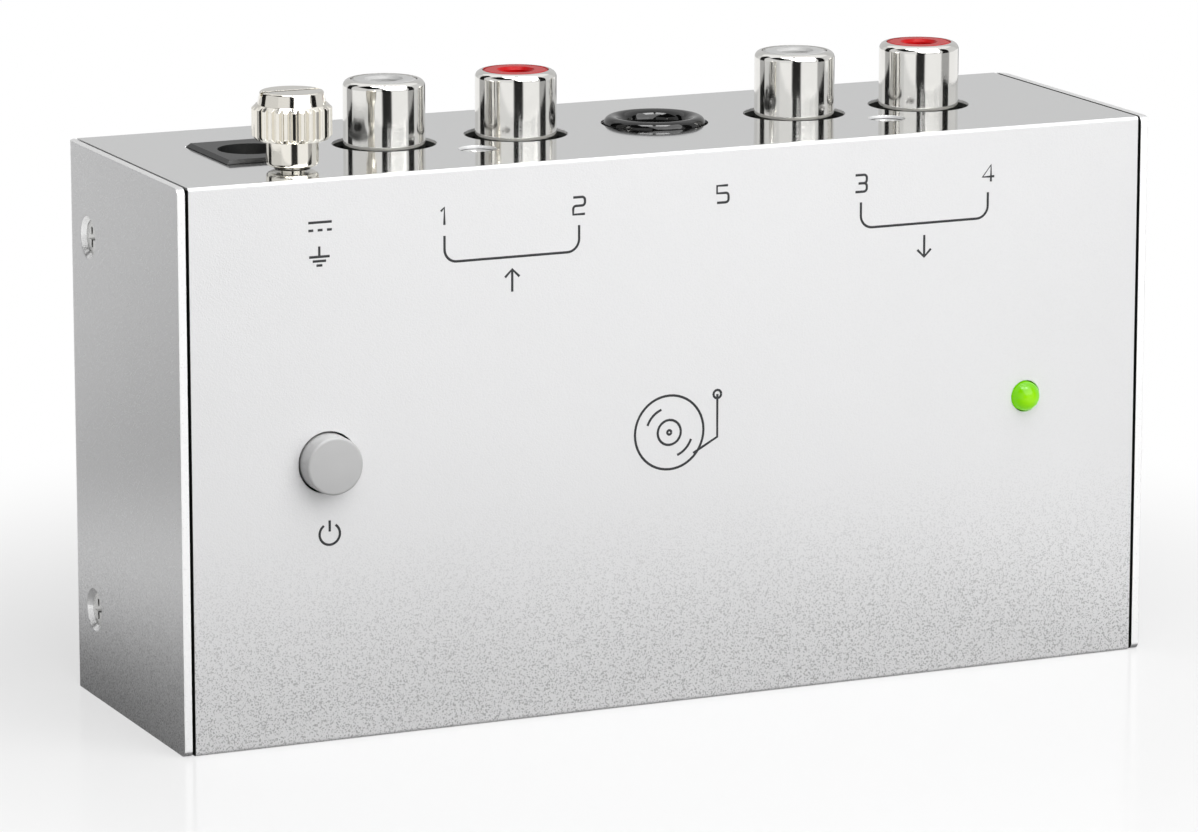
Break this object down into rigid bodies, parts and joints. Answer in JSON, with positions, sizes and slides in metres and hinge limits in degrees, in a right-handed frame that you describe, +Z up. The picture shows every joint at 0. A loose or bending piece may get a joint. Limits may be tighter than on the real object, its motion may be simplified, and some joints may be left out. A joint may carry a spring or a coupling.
{
  "type": "phono preamp",
  "caption": "Small rectangular audio box of two bent metal shells, with round sockets, a knurled ground screw, a power inlet, a push button and a status light.",
  "frame": {"origin": "centre of the long face that the case stands on", "axes": "+Z up to the connector face, +X along the width to the viewer's right, -Y out of the printed face"},
  "size_m": [0.104, 0.0351, 0.0628],
  "materials": {
    "anodised_case": "fine satin anodised",
    "screw_steel": "plated",
    "nickel": "bright nickel plate",
    "tin": "tinned",
    "gold_spring": "plated spring metal",
    "black_plastic": "moulded",
    "gloss_black": "glossy moulded",
    "white_plastic": "moulded",
    "red_plastic": "moulded",
    "grey_plastic": "fine moulded",
    "green_lens": "clear tinted, lit",
    "rubber": "moulded",
    "board": "solder mask",
    "can_sleeve": "shrink sleeve",
    "film_red": "dipped",
    "resistor_blue": "lacquer",
    "wire_green": "insulation"
  },
  "bodies": {
    "case": {"front_cover": "anodised_case", "rear_base": "anodised_case", "cover_screws": "screw_steel", "rubber_feet": "rubber", "circuit_board": "board", "board_standoffs": "tin", "board_screws": "screw_steel", "input_socket_housing": "black_plastic", "output_socket_housing": "black_plastic", "phono_socket_shells": "nickel", "left_channel_inserts": "white_plastic", "right_channel_inserts": "red_plastic", "phono_socket_contacts": "gold_spring", "socket_fixing_screws": "screw_steel", "headphone_socket_body": "gloss_black", "headphone_socket_springs": "gold_spring", "power_inlet_body": "black_plastic", "power_inlet_pin": "nickel", "power_inlet_spring": "gold_spring", "ground_nut": "screw_steel", "ground_lug": "tin", "ground_wire": "wire_green", "switch_housing": "black_plastic", "switch_base": "black_plastic", "switch_terminals": "tin", "switch_spring": "screw_steel", "light_lens": "green_lens", "light_spacer": "black_plastic", "light_leads": "tin", "electrolytic_capacitors": "can_sleeve", "film_capacitors": "film_red", "opamp_chips": "black_plastic", "resistors": "resistor_blue", "voltage_regulator": "black_plastic"},
    "button": {"power_button": "grey_plastic", "switch_plunger": "white_plastic"},
    "ground_screw": {"ground_thumbscrew": "nickel"}
  },
  "joints": [
    {"name": "power_button_press", "type": "slide", "parent": "case", "child": "button", "axis": [0, 1, 0], "range_m": [0, 0.0017], "stiffness_N_per_m": 800, "springref_m": -0.002, "deforming": ["switch_spring"]},
    {"name": "ground_screw_turn", "type": "hinge", "parent": "case", "child": "ground_screw", "pos_m": [-0.0379, -0.0093, 0.0553], "axis": [0, 0, 1], "range_deg": [0, 720]}
  ]
}
